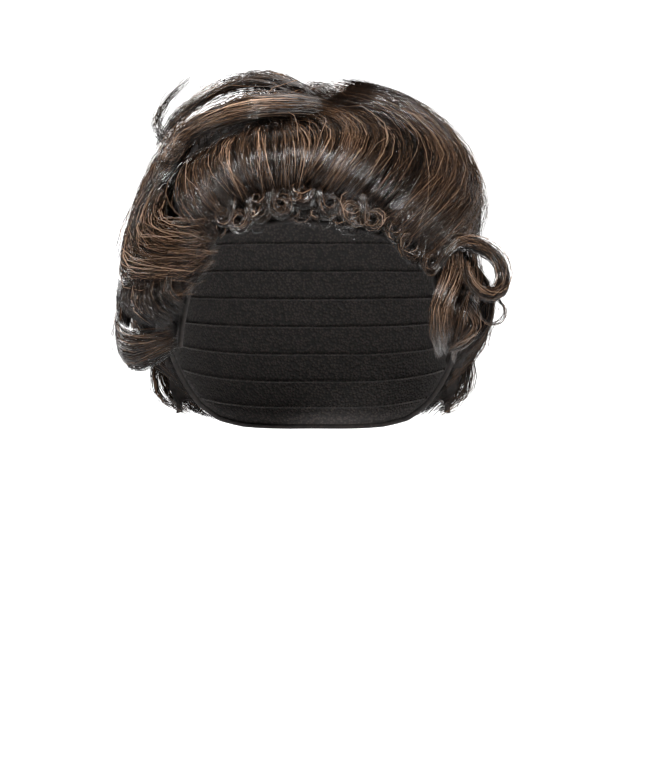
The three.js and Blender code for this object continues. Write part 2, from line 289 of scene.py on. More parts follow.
def lock_row(count, start, end, lean=0.0, weave=False, **lock):
    rows = []
    for number in range(count):
        azimuth = start + (end - start) * number / (count - 1)
        hand = -1 if weave and number % 2 else 1
        row = dict(lock, az0=azimuth, az1=azimuth + lean, bow=lock["bow"] * hand, wave=lock["wave"] * hand)
        rows.append(tuple(row[name] for name in COLUMNS))
    return rows


# %% [markdown]
# The hair over the brow is one fan. On the left it falls forward from under the swept lock. At the parting
# it turns in a whorl, and from there on each arc is longer and sweeps further round to the right. Left and
# right are those of the picture.

# %% Locks of the brow and the right side
BROW = [
    (-46, 42, -29, 16, -3, 0, 0.4, 0.68, 0.42, 0.8, 0.8, 0, 0),
    (-40, 44, -25, 20, -4, 0, 0.4, 0.7, 0.42, 0.85, 0.8, 0, 0),
    (-31, 46, -20, 25, -3, 0, 0.4, 0.7, 0.42, 0.85, 0.8, 0, 0),
    (-20, 48, -13, 26, -1, 0, 0.4, 0.7, 0.42, 0.8, 0.8, 0, 0),
    (-11, 49, -7, 27, 2, 0, 0.4, 0.7, 0.42, 0.75, 0.8, 0, 0),
    (-5, 52, -2, 29, 6, 0, 0.42, 0.7, 0.5, 0.7, 0.8, 0, 0),
]
SWEEPS = [
    (-5, 52, -2, 29, 6, 0, 0.42, 0.7, 0.5, 0.7, 0.8, 0, 0),
    (-2, 56, 3, 27, 9, 0, 0.42, 0.72, 0.5, 0.75, 0.8, 0, 0),
    (4, 59, 9, 25, 12, 0, 0.42, 0.7, 0.5, 0.8, 0.8, 0, 0),
    (9, 63, 15, 22, 15, 0, 0.42, 0.56, 0.5, 0.8, 0.8, 0, 0),
    (18, 67, 21, 18, 19, 0, 0.5, 0.68, 0.5, 0.9, 0.9, 0, 0),
    (32, 71, 27, 14, 23, 0, 0.58, 0.76, 0.5, 1, 0.9, 0, 0),
]
OUTER_SWEEPS = [
    (32, 71, 27, 14, 23, 0, 0.58, 0.76, 0.5, 1, 0.9, 0, 0),
    (52, 75, 33, 12, 26, 0, 0.62, 0.74, 0.5, 1, 0.9, 0, 0),
    (78, 78, 42, 12, 24, 0, 0.64, 0.68, 0.46, 1.1, 0.9, 0, 0),
    (104, 78, 56, 16, 20, 0, 0.6, 0.64, 0.42, 1.2, 0.9, 0, 0),
    (124, 77, 80, 22, 14, 0, 0.56, 0.6, 0.42, 1.2, 0.9, 0, 0),
]
RIGHT_SIDE = [
    (45, 18, 43, -15, -2, 4, 0.3, 0.44, 0.34, 0.7, 0.7, 0, 0),
    (56, 24, 51, -17, 3, 5, 0.25, 0.42, 0.3, 0.8, 0.7, 0, 0),
    (70, 28, 68, -14, 3, 3, 0.25, 0.32, 0.24, 0.9, 0.5, 0, 0),
    (88, 32, 86, -11, 3, 3, 0.22, 0.24, 0.2, 1.1, 0.4, 0, 0),
    (104, 34, 102, -14, 3, 3, 0.22, 0.25, 0.22, 1.1, 0.4, 0, 0),
]
RIGHT_RING = [(38, 9, 54, 13, 4, 0, 0.4, 0.6, 0.95, 0.25, 0.5, 1.06, -0.76)]
RIGHT_LOWER = [(47, 2, 45, -15, 12, 0, 0.32, 0.5, 0.3, 0.6, 0.6, 0, 0)]
RIGHT_LOOP = [(48, 3, 57, -1, 1, 0, 0.5, 0.9, 1.19, 0.05, 0.1, 1.1, -0.95)]

# %% [markdown]
# On the left the swept lock crosses the top and hooks down and in at its end. Below it the hair falls
# straight from the crown, then turns round the temple in nested arcs that end at the front rim. A short
# fringe hangs out from under those, and lowest of all lies one hollow roll.

# %% Locks of the top and the left side
SWEPT = [(12, 57, -47, 46, 3, 0, 0.45, 0.82, 0.92, 0.85, 0.65, 1.1, 0.45)]
TOP = lock_row(
    4, -146, -18, lean=10, el0=82, el1=46, bow=-4, wave=5, rise0=0.42, rise1=0.54, rise2=0.36,
    width=1.2, thick=0.9, curl=0, turns=0,
)
LEFT_FALL = [
    (-62, 60, -62, 34, -2, 2, 0.42, 0.66, 0.6, 1.1, 1, 0, 0),
    (-80, 64, -70, 20, -4, 2, 0.45, 0.75, 0.6, 1.1, 1, 0, 0),
    (-100, 62, -76, 6, -7, 0, 0.5, 0.85, 0.6, 1.1, 1, 0, 0),
    (-116, 60, -96, 4, -4, 3, 0.5, 0.78, 0.6, 1.1, 1, 0, 0),
    (-128, 58, -110, 2, -2, 3, 0.45, 0.75, 0.6, 1.1, 1, 0, 0),
]
LEFT_TEMPLE = [
    (-56, 36, -32, 15, -8, 0, 0.5, 0.72, 0.58, 0.5, 0.7, 1.0, 0.05),
    (-60, 40, -32, 12, -15, 0, 0.5, 0.8, 0.6, 0.7, 0.8, 1.1, 0.09),
    (-70, 44, -34, 8, -22, 0, 0.5, 0.88, 0.62, 0.9, 0.9, 1.2, 0.12),
    (-82, 38, -37, 4, -19, 0, 0.52, 0.84, 0.58, 0.9, 0.9, 1.2, 0.12),
]
LEFT_FRINGE = [
    (-68, 8, -60, -6, -3, 0, 0.7, 0.92, 0.76, 0.8, 0.8, 0, 0),
    (-58, 7, -50, -8, -3, 0, 0.7, 0.9, 0.74, 0.8, 0.8, 0, 0),
    (-48, 7, -41, -7, -3, 0, 0.6, 0.82, 0.66, 0.8, 0.8, 0, 0),
    (-40, 7, -36, -1, -2, 0, 0.55, 0.7, 0.58, 0.8, 0.8, 0, 0),
]
LEFT_ROLL = [(-92, 4, -44, -12, -10, 0, 0.7, 1.0, 0.45, 1.1, 0.5, 0, 0)]
LEFT_ROLL_TOP = [(-54, 2, -80, 3.5, 0, 0, 0.7, 0.9, 0.98, 0.3, 0.3, 0.75, 0.28)]

# %% [markdown]
# The photograph hides the back, so it follows the way such wigs are made: waves fall from the crown, a row
# of curls turns alternately left and right under them, and short locks close the nape.

# %% Locks of the back
BACK = [(122, 80, 122, 8, 5, 8, 0.42, 0.5, 0.35, 1.2, 0.7, 0, 0)] + lock_row(
    5, 144, 240, el0=80, el1=8, bow=5, wave=8, rise0=0.42, rise1=0.75, rise2=0.6,
    width=1.4, thick=0.9, curl=0, turns=0,
)
BACK_CURLS = [(118, 12, 118, -20, 6, 0, 0.35, 0.5, 0.35, 1.1, 0.6, 0, 0)] + lock_row(
    5, 142, 244, el0=12, el1=-20, bow=9, wave=0, rise0=0.35, rise1=0.7, rise2=0.5,
    width=1.2, thick=0.8, curl=0, turns=0, weave=True,
)
NAPE = lock_row(
    6, 116, 244, el0=-16, el1=-38, bow=4, wave=0, rise0=0.4, rise1=0.5, rise2=0.2,
    width=1.2, thick=0.9, curl=0, turns=0, weave=True,
)

# %% [markdown]
# Three smaller fans close what the long ones leave open. One lies over the roots at the parting, and one
# hangs behind each ear tab, where short hair shows on both sides of the front opening.

# %% Locks of the parting and behind the ear tabs
PARTING = [
    (-130, 80, -14, 60, 0, 3, 0.36, 0.5, 0.45, 1, 1, 0, 0),
    (178, 84, 2, 60, 0, 2, 0.36, 0.5, 0.45, 1, 1, 0, 0),
    (120, 80, 22, 64, 0, 2, 0.36, 0.5, 0.45, 1, 1, 0, 0),
]
BEHIND_LEFT_EAR = [
    (-98, 12, -104, -20, 2, 2, 0.35, 0.68, 0.14, 1, 0.8, 0, 0),
    (-110, 10, -114, -28, 2, 2, 0.35, 0.68, 0.14, 1, 0.8, 0, 0),
    (-122, 8, -126, -36, 2, 2, 0.35, 0.68, 0.14, 1, 0.8, 0, 0),
]
BEHIND_RIGHT_EAR = [
    (98, 12, 104, -20, -2, -2, 0.35, 0.68, 0.14, 1, 0.8, 0, 0),
    (110, 10, 114, -28, -2, -2, 0.35, 0.68, 0.14, 1, 0.8, 0, 0),
    (122, 8, 126, -36, -2, -2, 0.35, 0.68, 0.14, 1, 0.8, 0, 0),
]

# %% [markdown]
# Small flat curls stand in a row along the front rim. Each comes down to one side of its own centre and
# turns round it once. Between and under them hangs a fringe of single thin ringlets. A seeded draw sets
# their places, lengths and sizes, so they are the same in every run.

# %% The curls along the front rim
PIN_DROP = 7.0
PIN_ASIDE = 3.4
PIN_RISES = (0.36, 0.48, 0.46)
PIN_SECTION = (0.1, 0.5)
PIN_SIZE = 1.2
PIN_TURNS = 0.97
PIN_CENTRES = [
    # azimuth, elevation, size, hand
    (-31, 17, 1.0, 1),
    (-25.5, 20, 0.75, -1),
    (-20, 18.5, 0.85, -1),
    (-14.5, 21, 0.85, 1),
    (-8.5, 23, 0.9, 1),
    (-2.5, 25, 0.85, -1),
    (4.5, 22.5, 0.9, 1),
    (11, 21, 0.85, -1),
    (17, 19, 0.8, 1),
    (22.5, 17, 0.85, -1),
    (28.5, 12.5, 1.1, -1),
    (35, 8.5, 0.9, -1),
]
RINGLETS = 110
RINGLET_SEED = 5
RINGLET_SPAN = (-34.0, 41.0)
RINGLET_ABOVE_RIM = (-0.5, 6.5)
RINGLET_ASIDE = 2.5
RINGLET_SIZES = (0.35, 1.0)
RINGLET_LENGTHS = (2, 6)
RINGLET_RISES = (0.3, 0.42)
RINGLET_TIP_RISES = (0.26, 0.5)
RINGLET_SECTION = (0.06, 0.3)
RINGLET_TURNS = (0.5, 1.3)


def pin(azimuth, elevation, size, hand):
    root = azimuth - hand * PIN_ASIDE
    way = (root, elevation + PIN_DROP, root, elevation + 1, 0, 0)
    return (*way, *PIN_RISES, *PIN_SECTION, PIN_SIZE * size, PIN_TURNS * hand)


def ringlet(draw):
    azimuth = draw.uniform(*RINGLET_SPAN)
    elevation = rim(azimuth) + draw.uniform(*RINGLET_ABOVE_RIM)
    hand = draw.choice([-1, 1])
    root = azimuth - RINGLET_ASIDE * hand
    size = draw.uniform(*RINGLET_SIZES)
    way = (root, elevation + draw.uniform(*RINGLET_LENGTHS), root, elevation, 0, 0)
    rise = (*RINGLET_RISES, draw.uniform(*RINGLET_TIP_RISES))
    return (*way, *rise, *RINGLET_SECTION, size, hand * draw.uniform(*RINGLET_TURNS))


ringlet_draw = np.random.default_rng(RINGLET_SEED)
PINS = [pin(*centre) for centre in PIN_CENTRES]
FRINGE = [ringlet(ringlet_draw) for _ in range(RINGLETS)]
print("pin curls", len(PINS), "and ringlets", len(FRINGE))

# %% [markdown]
# Loose hair stands off the rest. Two thin wisps rise over the swept lock, and a tuft turns up at their end.

# %% Loose locks
WISPS = [
    (10, 63, -76, 49, -6, 0, 0.5, 1.08, 1.08, 0.8, 0.4, 0, 0),
    (-40, 68, -78, 44, 4, 0, 1.02, 1.1, 1.05, 0.8, 0.4, 0, 0),
]
TUFT = [(-74, 46, -86, 62, 9, 0, 1.0, 1.5, 1.6, 0.4, 0.3, 0, 0)]

# %% [markdown]
# The way of a lock is worked out for many locks at once. It runs over the cap from root to tip, rises and
# sinks, and then walks round its curl with steps that get shorter as the curl tightens. A curl lies flat on
# the cap, as pin curls do, unless it is told to face another way. Where hairs of one lock curl more or
# less widely, all of them still turn round the same centre.


# %% The way that locks take
def columns(rows, places):
    table = np.array(rows, dtype=float)
    numbers = np.arange(len(rows))
    return {name: np.interp(places, numbers, table[:, i]) for i, name in enumerate(COLUMNS)}


def bend(lock, stations):
    share = np.linspace(0, 1, stations + 1)
    root = direction(lock["az0"], lock["el0"])
    tip = direction(lock["az1"], lock["el1"])
    angle = np.arccos(np.clip((root * tip).sum(axis=-1), -1, 1))[:, None, None]
    t = share[None, :, None]
    way = (np.sin((1 - t) * angle) * root[:, None] + np.sin(t * angle) * tip[:, None]) / np.sin(angle)
    side = unit(np.cross(root, tip))[:, None]
    swing = lock["bow"][:, None] * np.sin(np.pi * share) + lock["wave"][:, None] * np.sin(2 * np.pi * share)
    return share, unit(way + side * np.radians(swing)[..., None])


def rises(lock, share):
    root = lock["rise0"][:, None] * (1 - share) * (1 - 2 * share)
    middle = lock["rise1"][:, None] * 4 * share * (1 - share)
    return root + middle + lock["rise2"][:, None] * share * (2 * share - 1)


def square_to(vectors, normals):
    return unit(vectors - normals * (vectors * normals).sum(axis=-1, keepdims=True))


def curl_round(lock, place, out, radius, stations, tightening, full, facing=None):
    along = unit(place[:, -1] - place[:, -2])
    end = square_to(out[:, -1], along)
    if facing is not None:
        end = np.broadcast_to(np.array(facing), end.shape)
        along = square_to(along, end)
    across = np.cross(end, along) * np.sign(lock["turns"])[:, None]
    turn = 2 * np.pi * np.abs(lock["turns"])[:, None] / stations
    number = np.arange(stations)
    wide = radius * lock["curl"] * full
    reach = wide[:, None] * (1 - tightening * (number + 1) / stations) * turn
    heading = (number + 0.5) * turn
    steps = (reach * np.cos(heading))[..., None] * along[:, None]
    steps = steps + (reach * np.sin(heading))[..., None] * across[:, None]
    place = place + ((1 - full) * radius * lock["curl"])[:, None, None] * across[:, None]
    curled = place[:, -1:] + np.cumsum(steps, axis=1)
    outs = np.repeat(end[:, None], stations, axis=1)
    return np.concatenate([place, curled], axis=1), np.concatenate([out, outs], axis=1)


def swelling(share, tip=TIP_TAPER):
    swell = ROOT_TAPER + (1 - ROOT_TAPER) * np.sin(np.pi / 2 * np.clip(share / FULL_FROM, 0, 1))
    return swell * (1 - (1 - tip) * np.clip((share - FULL_TO) / (1 - FULL_TO), 0, 1) ** 2)


# %% [markdown]
# Real hair hangs together in small clumps. So a mass of hair is first a few hundred clumps, which lie
# beside each other on a fan of locks or fill the section of a single lock. Clumps lie at many depths, and a
# fan has a crest along each lock of its table and a groove between two. Deep clumps and clumps in a groove
# get painted shade, which darkens their colour. What a mass doesn't say for itself is taken from the usual
# values, which are explained below where the masses are listed.

# %% Clumps of hair
USUAL = dict(
    fan=True, edge=0.0, layers=0.9, jitter=1.5, lift=0.0, shades=None, curled=None, tightening=TIGHTENING,
    fullness=(1.0, 1.0), facing=None, narrow=0.35, tip=TIP_TAPER, strays=0.08, frizz=0.0004, ragged=0.2,
    tone=0.0, thin=1.0, replaces=None, core=True,
)
GROOVE = 0.9
CROWDING = 1.3
ROUNDNESS = 0.35
SINGLE_LOCK_JITTER = 0.3
CURL_CLOSING = 1.5
DEPTH_SHADE = 0.3
GROOVE_SHADE = 0.3


def clump_ways(hair, rng):
    rows = hair["rows"]
    count = hair["clumps"]
    fan = hair["fan"]
    if fan:
        edge = hair["edge"]
        span = len(rows) - 1 + 2 * abs(edge)
        places = (np.arange(count) + rng.random(count)) / count * span - abs(edge)
        aside = 2 * np.sign(edge) * (places - np.clip(places, 0, len(rows) - 1))
        places = np.clip(places, 0, len(rows) - 1)
        ridge = 1 - (2 * (places - np.round(places))) ** 2 * GROOVE
        depth = rng.random(count) ** CROWDING * hair["layers"]
    else:
        places = np.arange(count) % len(rows)
        turn = rng.random(count) * 2 * np.pi
        aside = np.cos(turn) * rng.random(count) ** ROUNDNESS
        ridge = np.sin(turn) * np.sqrt(1 - aside**2)
        depth = np.zeros(count)
    lock = columns(rows, places)
    jitter = hair["jitter"] * (1.0 if fan else SINGLE_LOCK_JITTER)
    for name in ("az0", "az1", "el0", "el1", "bow"):
        lock[name] = lock[name] + rng.normal(0, jitter, count)
    share, out = bend(lock, hair["stations"])
    half = lock["thick"] * LOCK_THICKNESS / 2
    lift = half[:, None] * (ridge[:, None] * swelling(share) - depth[:, None])
    place = above(out, STYLE_DEPTH * rises(lock, share) + lift + hair["lift"])
    if hair["curled"]:
        full = rng.uniform(*hair["fullness"], count)
        steps = hair["curl_stations"]
        tightening = hair["tightening"]
        place, out = curl_round(lock, place, out, hair["curled"], steps, tightening, full, hair["facing"])
        share = np.linspace(0, 1, place.shape[1])
    along = unit(np.gradient(place, axis=1))
    across = unit(np.cross(out, along))
    width = (lock["width"] * LOCK_WIDTH / 2 * aside)[:, None] * swelling(share, hair["tip"])
    if hair["curled"] and not fan:
        width = width * np.clip(CURL_CLOSING - share, hair["narrow"], 1)
    place = place + across * width[..., None]
    # painted shade: deep clumps, clumps in a groove and the locks that shades name are darkened
    shadow = DEPTH_SHADE * depth + GROOVE_SHADE * (1 - ridge)
    if hair["shades"]:
        shadow = shadow + np.interp(places, np.arange(len(rows)), hair["shades"])
    return share, place, along, across, np.cross(along, across), shadow


# %% [markdown]
# Each clump is a handful of hairs that start apart, wander a little, and close up towards the tip. Some
# hairs stray from every clump and stand in front of the rest, where a painted highlight makes them
# lighter. Some others are painted glints, lighter than their neighbours. Both are thinner, so that they
# read as single hairs. Hairs are cut to different lengths, which keeps the ends of a lock ragged.

# %% Hairs of a clump
FLATNESS = 0.7
PITCHES = (0.8, 2.6)
UPWARD_PITCH = 0.8
ROOT_FRIZZ = 0.6
STRAY_REACH = 2.4
STRAY_FRIZZ = 2.2
STRAY_LIFT = 0.0026
# how much lighter stray hairs are painted, as a painted highlight
STRAY_PAINTED_LIGHT = 0.12
STRAY_FINENESS = 0.65
GLINTS = 0.2
GLINT_TONES = (0.12, 0.4)
GLINT_FINENESS = 0.78
MIDDLE_TONE = 0.5
CLUMP_TONES = 0.1
HAIR_TONES = 0.17


def shortened(ways, lengths):
    last = ways.shape[1] - 1
    place = lengths[:, None] * np.arange(last + 1)
    before = np.minimum(place.astype(int), last - 1)
    part = (place - before)[..., None]
    first = np.take_along_axis(ways, before[..., None], axis=1)
    return first + part * (np.take_along_axis(ways, before[..., None] + 1, axis=1) - first)


def hair_ways(hair, rng):
    share, place, along, across, up, shadow = clump_ways(hair, rng)
    each = hair["hairs"]
    total = len(place) * each
    clump = np.repeat(np.arange(len(place)), each)
    stray = rng.random(total) < hair["strays"]
    reach = np.sqrt(rng.random(total)) * np.where(stray, STRAY_REACH, 1.0)
    turn = rng.random(total) * 2 * np.pi
    spread = np.interp(share, [0, 0.5, 1], hair["spread"])
    frizz = hair["frizz"] * (ROOT_FRIZZ + share) * np.where(stray, STRAY_FRIZZ, 1.0)[:, None]
    pitch = rng.uniform(*PITCHES, total)[:, None]
    start = rng.random((total, 2)) * 2 * np.pi
    wander_across = frizz * np.sin(2 * np.pi * pitch * share + start[:, :1])
    wander_up = frizz * np.sin(2 * np.pi * pitch * UPWARD_PITCH * share + start[:, 1:])
    offset_across = (reach * np.cos(turn))[:, None] * spread + wander_across
    offset_up = FLATNESS * (reach * np.sin(turn))[:, None] * spread + wander_up
    lifted = np.where(stray, rng.uniform(0.0, STRAY_LIFT, total), 0.0)
    offset_up = offset_up + lifted[:, None] * np.sin(np.pi * share)
    ways = place[clump] + across[clump] * offset_across[..., None] + up[clump] * offset_up[..., None]
    tone = MIDDLE_TONE + CLUMP_TONES * rng.normal(0, 1, len(place))[clump]
    tone = tone + HAIR_TONES * rng.normal(0, 1, total)
    # painted shade of deep and grooved clumps is taken off, stray hairs get their painted highlight, and the
    # mass's tone is added
    tone = tone - shadow[clump] + STRAY_PAINTED_LIGHT * stray + hair["tone"]
    glint = rng.random(total) < GLINTS
    tone = np.clip(np.where(glint, tone + rng.uniform(*GLINT_TONES, total), tone), 0, 1)
    fineness = np.where(stray, STRAY_FINENESS, np.where(glint, GLINT_FINENESS, 1.0))
    lengths = 1 - hair["ragged"] * rng.random(total) ** 2
    return share, shortened(ways, lengths), shortened(up[clump], lengths), tone, fineness


# %% [markdown]
# No hair may come through the cap, which is open to view from the front. So every point is measured against
# the form of its inside, and one that lies too deep is pushed back out.


# %% Keeping hair outside the cap
HAIR_CLEARANCE = 0.0008


def keep_out(ways):
    arms = ways - MIDDLE
    reach = np.linalg.norm(arms, axis=-1)
    directions = arms / reach[..., None]
    least = inside(directions) + (CAP_WALL + HAIR_CLEARANCE)
    return MIDDLE + directions * np.maximum(reach, least)[..., None]


# %% [markdown]
# A hair is a closed three-sided tube that thins towards its tip. All hairs of a mass are one mesh, made
# from arrays, because operators are too slow for so many. Its map holds the tone of each hair across and
# the way along the hair upwards, so the finish needs no picture and each hair keeps one colour. The sides
# of a tube are smooth and its two cut ends are flat.


# %% Tubes along many ways at once
def tube_corners(place, out, half_width, half_thick, sides):
    along = unit(np.gradient(place, axis=1))
    across = unit(np.cross(out, along))
    up = np.cross(along, across)
    turn = 2 * np.pi * np.arange(sides) / sides
    across_part = half_width[..., None] * np.cos(turn)
    up_part = half_thick[..., None] * np.sin(turn)
    offset = across[:, :, None] * across_part[..., None] + up[:, :, None] * up_part[..., None]
    return place[:, :, None] + offset


def tube_faces(ways, stations, sides):
    index = np.arange(ways * stations * sides).reshape(ways, stations, sides)
    near = index[:, :-1]
    far = index[:, 1:]
    quads = np.stack([near, np.roll(near, -1, 2), np.roll(far, -1, 2), far], axis=-1).reshape(-1, 4)
    return quads, np.concatenate([index[:, 0, ::-1], index[:, -1]])


TONE_STEP = 0.012
TONE_START = 0.02
TONE_SPAN = 0.92
ALONG_SPAN = (0.02, 0.98)
END_HEIGHTS = (0.01, 0.99)


def tube_map(tones, stations, sides):
    base = TONE_START + TONE_SPAN * tones[:, None, None]
    side = np.arange(sides)[None, None] * TONE_STEP
    along = np.linspace(*ALONG_SPAN, stations)
    low = along[None, :-1, None]
    high = along[None, 1:, None]
    left = np.broadcast_to(base + side, (len(tones), stations - 1, sides))
    low = np.broadcast_to(low, left.shape)
    high = np.broadcast_to(high, left.shape)
    right = left + TONE_STEP
    corners = np.stack([left, low, right, low, right, high, left, high], axis=-1).reshape(-1, 2)
    turn = 2 * np.pi * np.arange(sides) / sides
    cap = np.stack([np.cos(turn), np.sin(turn)], axis=-1) * TONE_STEP / 2
    ends = []
    for height in END_HEIGHTS:
        middle = np.stack([base[:, 0, 0] + TONE_STEP, np.full(len(tones), height)], axis=-1)
        ends.append((middle[:, None] + cap[None]).reshape(-1, 2))
    return np.concatenate([corners, *ends])


def add_piece(name, points, faces, material):
    mesh = bpy.data.meshes.new(name)
    mesh.from_pydata(points.reshape(-1, 3), [], faces)
    mesh.polygons.foreach_set("use_smooth", np.array([len(face) == 4 for face in faces]))
    mesh.materials.append(material)
    piece = bpy.data.objects.new(name, mesh)
    bpy.context.scene.collection.objects.link(piece)
    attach(piece, "root")
    return piece


def add_tubes(name, corners, material, tones=None):
    ways, stations, sides, _ = corners.shape
    quads, ends = tube_faces(ways, stations, sides)
    piece = add_piece(name, corners, quads.tolist() + ends.tolist(), material)
    if tones is not None:
        layer = piece.data.uv_layers.new(name="OFBake")
        layer.data.foreach_set("uv", tube_map(tones, stations, sides).ravel())
    return piece


# %% [markdown]
# The hair's finish is a dark brown with a reddish cast that varies from hair to hair. A few hairs are warm
# and light. The roots are darker than the rest, because less light reaches them, and the tips a little.

# %% The finish of the hair
hair_finish = Finish("dark brown hair")
hair_map = hair_finish.make("UVMap", {"uv_map": "OFBake"})
tone_wire = hair_finish.make("SeparateXYZ", None, {0: hair_map}, output=0)
along_wire = hair_finish.make("SeparateXYZ", None, {0: hair_map}, output=1)
lit_wire = hair_finish.make(
    "ValToRGB",
    {"stops": [(0.0, grey(0.45)), (0.3, grey(1.0)), (0.8, grey(1.0)), (1.0, grey(0.85))]},
    {0: along_wire},
)
hair_colours = hair_finish.make(
    "ValToRGB",
    {
        "stops": [
            (0.0, (0.0009, 0.0006, 0.0004)),
            (0.35, (0.0045, 0.0025, 0.0014)),
            (0.6, (0.024, 0.0128, 0.0068)),
            (0.82, (0.085, 0.048, 0.028)),
            (1.0, (0.24, 0.155, 0.105)),
        ]
    },
    {0: tone_wire * lit_wire},
)
hair_material = hair_finish.end(
    {
        "Base Color": hair_colours,
        "Roughness": 0.17 + 0.1 * tone_wire,
        "Specular IOR Level": 0.26,
    }
)

# %% [markdown]
# Under the strands each mass has a soft body, which fills it and keeps daylight out. It is a copy of the
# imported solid, remeshed as one skin, smoothed until the facets are gone, and drawn in a little so that the
# strands stand over it. It is nearly black, because little light comes so deep into the hair.

# %% The finish of the soft bodies
body_finish = Finish("hair in shadow")
body_place = body_finish.make("TexCoord", None, None, output=3)
body_streaks = body_finish.make("TexNoise", None, {"Vector": body_place, "Scale": 420.0, "Detail": 4.0})
body_material = body_finish.end(
    {
        "Base Color": body_finish.make(
            "ValToRGB",
            {"stops": [(0.35, (0.0025, 0.002, 0.0018)), (0.7, (0.009, 0.0062, 0.005))]},
            {0: body_streaks},
        ),
        "Roughness": 0.9,
        "Specular IOR Level": 0.2,
        "Normal": body_finish.make(
            "Bump", None, {"Strength": 0.6, "Distance": 0.0008, "Height": body_streaks}
        ),
    }
)

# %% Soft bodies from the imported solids
BODY_VOXEL = 0.0034
BODY_SHRINK = 0.0024
DEEPER = {
    "left_temple_curls": 0.0045,
    "right_side_waves": 0.006,
    "back_curls": 0.006,
    "nape_locks": 0.004,
}
SAME_POINT = 0.00002
SMOOTHING = 0.5
SMOOTHING_ROUNDS = 6


def soft_body(node):
    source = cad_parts[node]
    piece = source.copy()
    piece.data = source.data.copy()
    piece.parent = None
    for key in list(piece.keys()):
        del piece[key]
    piece.name = node + "_body"
    bpy.context.scene.collection.objects.link(piece)
    for other in bpy.context.selected_objects:
        other.select_set(False)
    piece.select_set(True)
    bpy.context.view_layer.objects.active = piece
    bpy.ops.object.mode_set(mode="EDIT")
    bpy.ops.mesh.select_all(action="SELECT")
    bpy.ops.mesh.remove_doubles(threshold=SAME_POINT)
    bpy.ops.object.mode_set(mode="OBJECT")
    remesh = piece.modifiers.new("skin", "REMESH")
    remesh.mode = "VOXEL"
    remesh.voxel_size = BODY_VOXEL
    bpy.ops.object.modifier_apply(modifier=remesh.name)
    smooth = piece.modifiers.new("soften", "SMOOTH")
    smooth.factor = SMOOTHING
    smooth.iterations = SMOOTHING_ROUNDS
    bpy.ops.object.modifier_apply(modifier=smooth.name)
    bpy.ops.object.mode_set(mode="EDIT")
    bpy.ops.mesh.select_all(action="SELECT")
    bpy.ops.transform.shrink_fatten(value=-DEEPER.get(node, BODY_SHRINK))
    bpy.ops.object.mode_set(mode="OBJECT")
    bpy.ops.object.shade_smooth()
    piece.data.materials.clear()
    piece.data.materials.append(body_material)
    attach(piece, "root")
    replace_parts(piece, node)
    piece.select_set(False)
    return len(piece.data.polygons)
